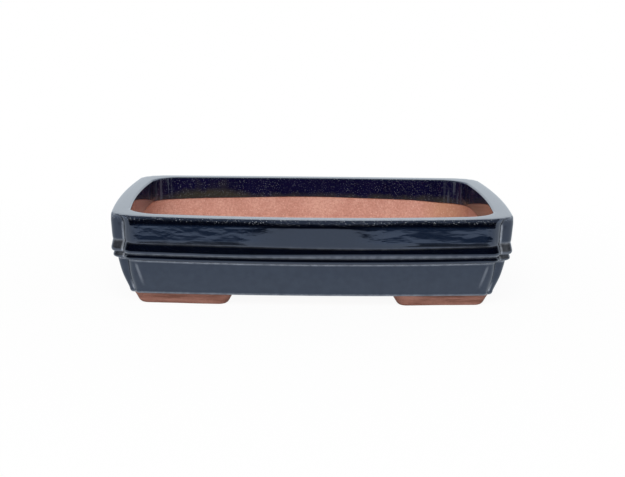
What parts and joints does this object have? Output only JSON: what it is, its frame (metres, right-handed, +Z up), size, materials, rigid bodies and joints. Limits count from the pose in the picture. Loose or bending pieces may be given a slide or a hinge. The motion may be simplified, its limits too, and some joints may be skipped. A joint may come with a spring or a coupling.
{
  "type": "rectangular planter",
  "caption": "Low rectangular glazed clay planter with bowed sides, notched corners, a cord belt, a flat rim and block feet, for a small tree or plants.",
  "frame": {"origin": "on the ground, under the middle of the pot", "axes": "+X along the pot's length, +Y from the front wall to the back wall, +Z up"},
  "size_m": [0.31, 0.216, 0.07],
  "materials": {
    "glaze": "glossy blue-black glaze with fine pale speckles",
    "clay": "bare fired red-brown clay, matt, with small pits",
    "foot_clay": "bare fired clay, darker and brushed lengthwise"
  },
  "bodies": {
    "root": {"floor_slab": "clay", "front_wall": "clay", "right_wall": "clay", "back_wall": "clay", "left_wall": "clay", "rim_front": "clay", "rim_right": "clay", "rim_back": "clay", "rim_left": "clay", "upper_cord_front": "clay", "upper_cord_right": "clay", "upper_cord_back": "clay", "upper_cord_left": "clay", "lower_cord_front": "clay", "lower_cord_right": "clay", "lower_cord_back": "clay", "lower_cord_left": "clay", "foot_front_left": "foot_clay", "foot_front_right": "foot_clay", "foot_back_left": "foot_clay", "foot_back_right": "foot_clay", "glaze_coat": "glaze"}
  },
  "joints": []
}
